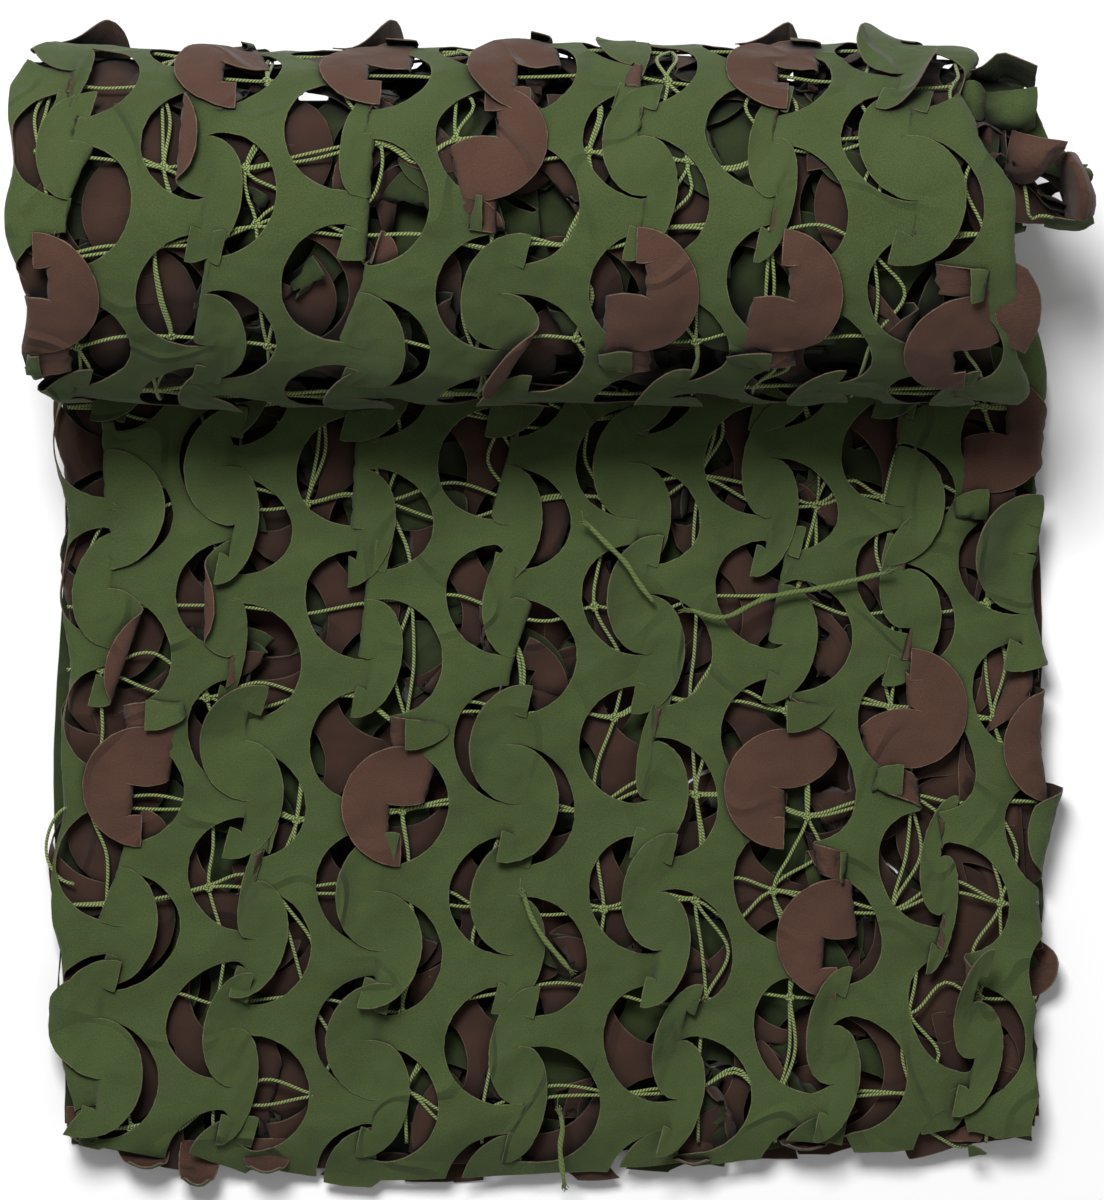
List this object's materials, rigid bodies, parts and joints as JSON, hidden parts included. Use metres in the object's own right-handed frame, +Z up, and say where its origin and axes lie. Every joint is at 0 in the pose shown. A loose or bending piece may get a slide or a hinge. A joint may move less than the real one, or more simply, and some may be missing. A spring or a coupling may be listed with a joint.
{
  "type": "camouflage net, folded and part-rolled",
  "caption": "Incised two-tone camouflage cloth on a knotted cord net, folded lengthwise into a flat strip whose far end is rolled up.",
  "frame": {"origin": "on the surface the net lies on, under the middle of its box", "axes": "+X along the roll, +Y from the strip's free end towards the roll, +Z up"},
  "size_m": [0.5158, 0.5662, 0.1678],
  "materials": {
    "garnish_cloth": "matte woven cloth, green face and brown back",
    "carrier_cord": "twisted yellow-green cord",
    "olive_yarn": "soft olive yarn"
  },
  "bodies": {
    "root": {"garnish_cloth": "garnish_cloth", "carrier_net": "carrier_cord", "cord_end_a": "olive_yarn", "cord_end_b": "olive_yarn", "cord_end_c": "olive_yarn", "cord_end_d": "olive_yarn"}
  },
  "joints": []
}
